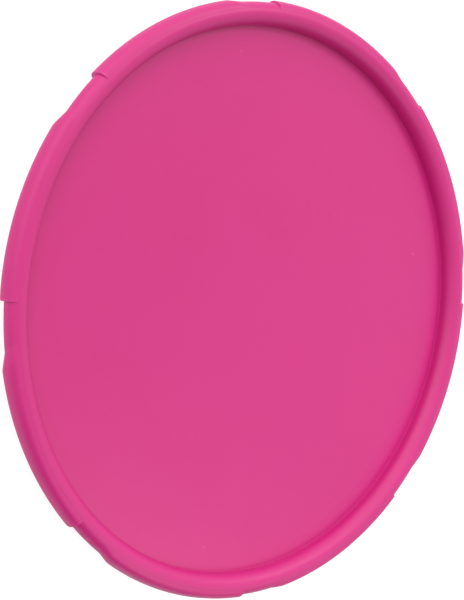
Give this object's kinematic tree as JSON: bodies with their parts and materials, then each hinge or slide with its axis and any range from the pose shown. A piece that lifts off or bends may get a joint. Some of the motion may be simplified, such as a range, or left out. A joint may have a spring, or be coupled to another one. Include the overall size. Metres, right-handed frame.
{
  "type": "soft silicone disc",
  "caption": "Round soft disc with a flat web inside a thick rim bead, sharp-ended raised lobes round the rim, and low swept vanes on the back.",
  "frame": {"origin": "under the disc's centre, on the plane that it rests on when it lies on its back", "axes": "+Z is the disc's axis, pointing out of the open side; +X passes through the sharp step between rim_lobe_8 and the recess before rim_lobe_1"},
  "size_m": [0.2198, 0.2198, 0.0092],
  "materials": {
    "silicone": "satin"
  },
  "bodies": {
    "root": {"web": "silicone", "rim_bead": "silicone", "rim_lobe_1": "silicone", "rim_lobe_2": "silicone", "rim_lobe_3": "silicone", "rim_lobe_4": "silicone", "rim_lobe_5": "silicone", "rim_lobe_6": "silicone", "rim_lobe_7": "silicone", "rim_lobe_8": "silicone", "back_vane_1": "silicone", "back_vane_2": "silicone", "back_vane_3": "silicone", "back_vane_4": "silicone", "back_vane_5": "silicone", "back_vane_6": "silicone", "back_vane_7": "silicone", "back_vane_8": "silicone"}
  },
  "joints": []
}
